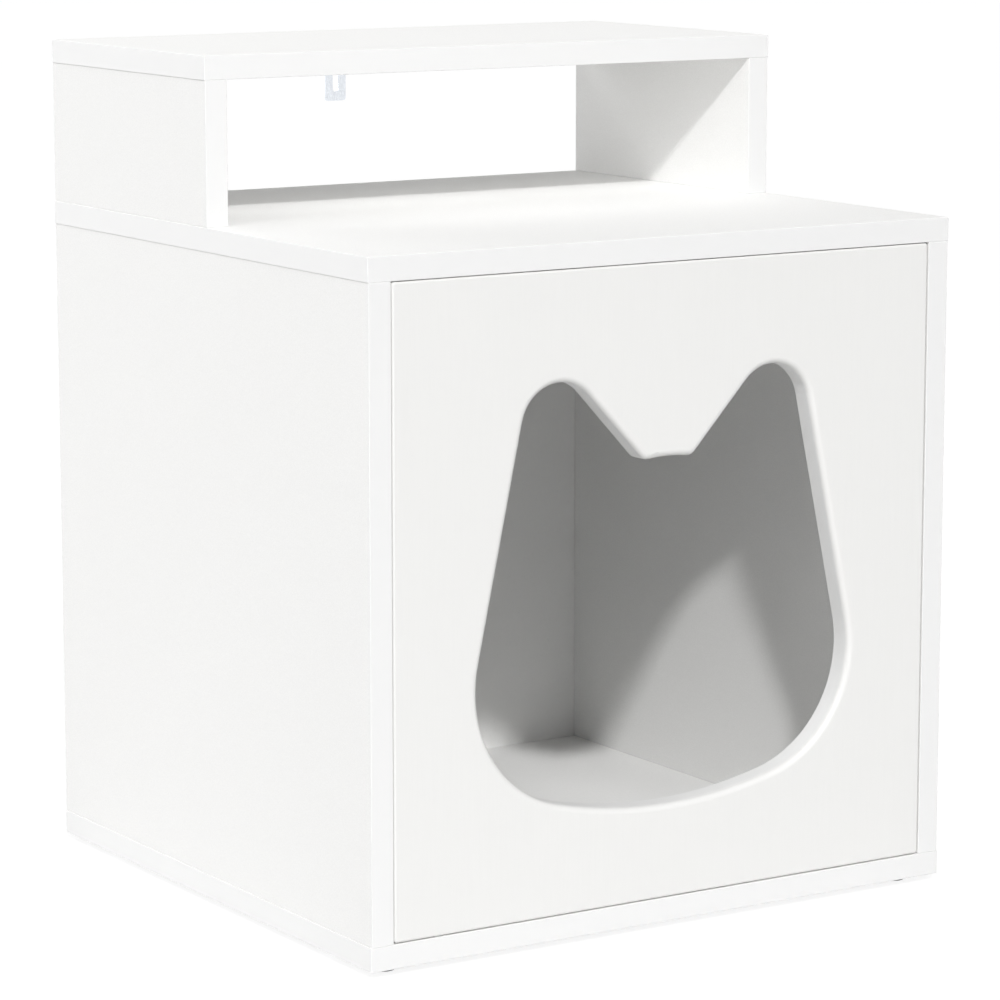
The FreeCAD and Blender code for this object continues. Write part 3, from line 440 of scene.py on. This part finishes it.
def block_form(low, high, bevel=0.0, upright=False):
    """A block between two corners, its edges rounded, or only its upright ones."""
    low, high = Vector(low), Vector(high)
    form = bmesh.new()
    bmesh.ops.create_cube(form, size=1.0)
    bmesh.ops.scale(form, verts=form.verts, vec=high - low)
    bmesh.ops.translate(form, verts=form.verts, vec=(low + high) / 2)
    if bevel:
        edges = [edge for edge in form.edges
                 if not upright or abs(edge.verts[0].co.z - edge.verts[1].co.z) > bevel]
        bmesh.ops.bevel(form, geom=edges, offset=bevel, affect="EDGES", segments=BEVEL_SEGMENTS,
                        profile=0.5, material=-1, clamp_overlap=True)
    return form


def cross_form(reach, width, depth, face=0.0):
    """A cutter for a cross recess, sunk upwards from a head's face and tapered to its foot."""
    form = bmesh.new()
    for turn in (0, math.pi / 2):
        made = bmesh.ops.create_cube(form, size=1.0)["verts"]
        bmesh.ops.scale(form, verts=made, vec=(2 * reach, width, 2 * depth))
        foot = [vert for vert in made if vert.co.z > 0]
        bmesh.ops.scale(form, verts=foot, vec=CROSS_TAPER)
        bmesh.ops.rotate(form, verts=made, cent=(0, 0, 0),
                         matrix=Matrix.Rotation(turn, 3, "Z"))
        bmesh.ops.translate(form, verts=made, vec=(0, 0, face))
    return form


def hexagon_form(reach, depth):
    """A cutter for a hexagon recess, sunk upwards from a head's face at the origin."""
    form = bmesh.new()
    bmesh.ops.create_cone(form, cap_ends=True, segments=6, radius1=reach, radius2=reach,
                          depth=2 * depth)
    return form


def loose_object(form):
    """A bmesh as an object of its own, for a modifier to work on."""
    mesh = bpy.data.meshes.new("blank")
    form.to_mesh(mesh)
    form.free()
    blank = bpy.data.objects.new("blank", mesh)
    bpy.context.scene.collection.objects.link(blank)
    return blank


def worked(form, other, operation):
    """A form less another one, or joined with it, as a mesh."""
    blank, tool = loose_object(form), loose_object(other)
    change = blank.modifiers.new("work", "BOOLEAN")
    change.operation = operation
    change.solver = "EXACT"
    change.use_self = True
    change.object = tool
    depsgraph = bpy.context.evaluated_depsgraph_get()
    mesh = bpy.data.meshes.new_from_object(blank.evaluated_get(depsgraph))
    for used in (blank, tool):
        rough_mesh = used.data
        bpy.data.objects.remove(used)
        bpy.data.meshes.remove(rough_mesh)
    return mesh


def as_form(mesh):
    """A finished mesh as a bmesh again."""
    form = bmesh.new()
    form.from_mesh(mesh)
    bpy.data.meshes.remove(mesh)
    return form


def spread(low, high, count):
    """Even steps from one limit to another, or the middle if there is only one."""
    if count == 1:
        return [(low + high) / 2]
    return [low + (high - low) * step / (count - 1) for step in range(count)]


def set_out(screw, node, head, rise=0.0, columns=1, rows=1, turn=FLAT):
    """Copies of a screw, spread through the box of the group they stand for, as one bmesh.

    The heads' radius is left free at the sides, and the seat lies a rise above the box's foot,
    both as seen along the screws."""
    ends = [turn.inverted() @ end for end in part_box(node)]
    low = Vector(map(min, zip(*ends)))
    high = Vector(map(max, zip(*ends)))
    form = bmesh.new()
    for x in spread(low.x + head, high.x - head, columns):
        for y in spread(low.y + head, high.y - head, rows):
            before = set(form.verts)
            form.from_mesh(screw)
            made = [vert for vert in form.verts if vert not in before]
            spot = Matrix.Translation((x, y, low.z + rise))
            bmesh.ops.transform(form, matrix=turn @ spot, verts=made)
    return form


def keep(name, form, material, node):
    """Make a shaped bmesh a piece that stands for a solid of the frame."""
    mesh = bpy.data.meshes.new(name)
    form.to_mesh(mesh)
    form.free()
    mesh.shade_smooth()
    mesh.set_sharp_from_angle(angle=SHARP_ANGLE)
    mesh.materials.append(material)
    piece = bpy.data.objects.new(name, mesh)
    bpy.context.scene.collection.objects.link(piece)
    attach(piece, NODES[node]["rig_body"])
    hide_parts(node)


def pan_screw():
    """A pan-head screw along +Z, seated under its head at the origin, with a cross recess."""
    section = [(radius, -height) for radius, height in PAN_CROWN]
    section += [(PAN_RADIUS, 0), (PAN_SHANK, 0), (PAN_SHANK, PAN_SHANK_LENGTH), (0, PAN_LENGTH)]
    recess = cross_form(reach=0.00135, width=0.0005, depth=0.0011, face=-PAN_HEIGHT)
    return worked(turned_form(section), recess, "DIFFERENCE")


def sunk_screw(head, head_depth, shank, length, recess):
    """A sunk-head screw along +Z, its flat face at the origin, with a recess."""
    section = [(0, 0), (head - RIM_EASE, 0), (head, RIM_HEIGHT), (shank, head_depth),
               (shank, length - POINT_LENGTH), (0, length)]
    return worked(turned_form(section), recess, "DIFFERENCE")


def catch_housing():
    """The catch's moulded shell with its two ears, and the pocket for magnet and poles."""
    low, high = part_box("catch_body")
    middle = (low.x + high.x) / 2
    shell = block_form((middle - SHELL_HALF, low.y, low.z), (middle + SHELL_HALF, high.y, high.z),
                       bevel=SHELL_ROUND)
    ears = block_form((low.x, low.y, high.z - EAR_THICK), (high.x, low.y + EAR_DEPTH, high.z),
                      bevel=EAR_ROUND, upright=True)
    housing = as_form(worked(shell, ears, "UNION"))
    pole_low, pole_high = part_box("catch_poles")
    pocket = block_form(
        (pole_low.x - POCKET_PLAY, low.y - POCKET_OVERCUT, pole_low.z - POCKET_PLAY),
        (pole_high.x + POCKET_PLAY, pole_high.y, pole_high.z + POCKET_PLAY))
    return as_form(worked(housing, pocket, "DIFFERENCE"))


pan = pan_screw()
for node, layout in PAN_LAYOUTS.items():
    keep("cross_" + node, set_out(pan, node, PAN_RADIUS, PAN_HEIGHT, **layout), ZINC, node)

floor_screw = sunk_screw(FLOOR_HEAD, head_depth=0.0036, shank=0.0033, length=0.050,
                         recess=hexagon_form(reach=0.0023, depth=0.0028))
keep("hexagon_floor_screws", set_out(floor_screw, "floor_screws", FLOOR_HEAD, columns=2, rows=2),
     ZINC, "floor_screws")

riser_screw = sunk_screw(RISER_HEAD, head_depth=0.003, shank=0.002, length=0.045,
                         recess=cross_form(reach=0.0021, width=0.0007, depth=0.0017))
keep("cross_riser_screws", set_out(riser_screw, "riser_screws", RISER_HEAD, columns=2, rows=3),
     ZINC, "riser_screws")

keep("catch_housing", catch_housing(), CATCH_PLASTIC, "catch_body")


# Ground, light and camera

FLOOR_HALF = 30.0
FLOOR_GREY = (0.75, 0.75, 0.75, 1)
FLOOR_ROUGH = 0.9
FLOOR_GLOW = 1.17
FLOOR_GLOW_SHARE = 0.75
ROOM_WHITE = (1, 1, 1, 1)
ROOM_LIGHT = 0.10
ROOM_SEEN = 1.0

LENS = 146.9
SENSOR = 36.0
NEAR_CLIP = 0.05
FAR_CLIP = 200.0
HEADING = math.radians(32.62)
PITCH = math.radians(-9.73)
AIM_RIGHT = 0.0055
AIM_HEIGHT = 0.2401
EYE_DISTANCE = 2.651


def seen_by_eye(tree):
    """One for rays from the camera, mirrors and glass, nought for the rest."""
    rays = add(tree, "ShaderNodeLightPath")
    return sums(tree, "MAXIMUM", rays.outputs["Is Camera Ray"],
                sums(tree, "MAXIMUM", rays.outputs["Is Glossy Ray"],
                     rays.outputs["Is Transmission Ray"]))


def studio_floor():
    """A pale floor that stays white to the camera and keeps a soft shadow."""
    form = bmesh.new()
    bmesh.ops.create_grid(form, x_segments=1, y_segments=1, size=FLOOR_HALF)
    mesh = bpy.data.meshes.new("studio_floor")
    form.to_mesh(mesh)
    form.free()
    floor = bpy.data.objects.new("studio_floor", mesh)
    bpy.context.scene.collection.objects.link(floor)
    material, tree, shader = new_finish("studio_floor_paint")
    shader.inputs["Base Color"].default_value = FLOOR_GREY
    shader.inputs["Roughness"].default_value = FLOOR_ROUGH
    white = add(tree, "ShaderNodeEmission")
    white.inputs["Strength"].default_value = FLOOR_GLOW
    mix = add(tree, "ShaderNodeMixShader")
    feed(tree, sums(tree, "MULTIPLY", seen_by_eye(tree), FLOOR_GLOW_SHARE), mix.inputs[0])
    feed(tree, shader.outputs[0], mix.inputs[1])
    feed(tree, white.outputs[0], mix.inputs[2])
    feed(tree, mix.outputs[0], tree.nodes["Material Output"].inputs["Surface"])
    mesh.materials.append(material)


def lamp(name, kind, energy, way, place=(0, 0, 0)):
    """A lamp that shines along a direction."""
    light = bpy.data.lights.new(name, kind)
    light.energy = energy
    body = bpy.data.objects.new(name, light)
    body.location = place
    body.rotation_euler = Vector(way).to_track_quat("-Z", "Y").to_euler()
    bpy.context.scene.collection.objects.link(body)
    return light


def sun(name, energy, way, degrees_wide):
    """A far lamp, with soft shadows where it is wide."""
    lamp(name, "SUN", energy, way).angle = math.radians(degrees_wide)


def softbox(name, energy, way, place, size):
    """A square lamp."""
    lamp(name, "AREA", energy, way, place).size = size


def studio_light():
    """An even white room with a key from the front left and softer lamps round the house."""
    world = bpy.data.worlds.new("studio")
    bpy.context.scene.world = world
    world.use_nodes = True
    tree = world.node_tree
    room = tree.nodes["Background"]
    room.inputs["Color"].default_value = ROOM_WHITE
    feed(tree, between(tree, seen_by_eye(tree), 0.0, 1.0, ROOM_LIGHT, ROOM_SEEN),
         room.inputs["Strength"])
    sun("key", 1.95, way=(0.482, 1.0, -0.787), degrees_wide=3.5)
    sun("front_key", 0.66, way=(0.12, 1.0, -0.95), degrees_wide=14.0)
    softbox("front_left_fill", 6.0, way=(2.4, 2.0, -0.65), place=(-2.4, -2.0, 0.9), size=2.0)
    softbox("high_left_fill", 19.0, way=(2.4, 1.2, -1.75), place=(-2.4, -1.2, 2.0), size=2.0)
    softbox("rear_fill", 25.5, way=(1.4, -2.3, -0.84), place=(-1.4, 2.4, 1.3), size=1.5)
    softbox("top_fill", 19.0, way=(0, 0, -1), place=(0, 0, 3.2), size=2.0)


def camera():
    """A long lens from the front left, a little above the shelf."""
    look = Vector((math.sin(HEADING) * math.cos(PITCH), math.cos(HEADING) * math.cos(PITCH),
                   math.sin(PITCH)))
    right = Vector((math.cos(HEADING), -math.sin(HEADING), 0))
    lens = bpy.data.cameras.new("camera")
    lens.lens = LENS
    lens.sensor_width = SENSOR
    lens.clip_start = NEAR_CLIP
    lens.clip_end = FAR_CLIP
    eye = bpy.data.objects.new("camera", lens)
    eye.location = right * AIM_RIGHT + Vector((0, 0, AIM_HEIGHT)) - look * EYE_DISTANCE
    eye.rotation_euler = look.to_track_quat("-Z", "Y").to_euler()
    bpy.context.scene.collection.objects.link(eye)
    bpy.context.scene.camera = eye


studio_floor()
studio_light()
camera()
bpy.context.scene.view_settings.view_transform = "Standard"
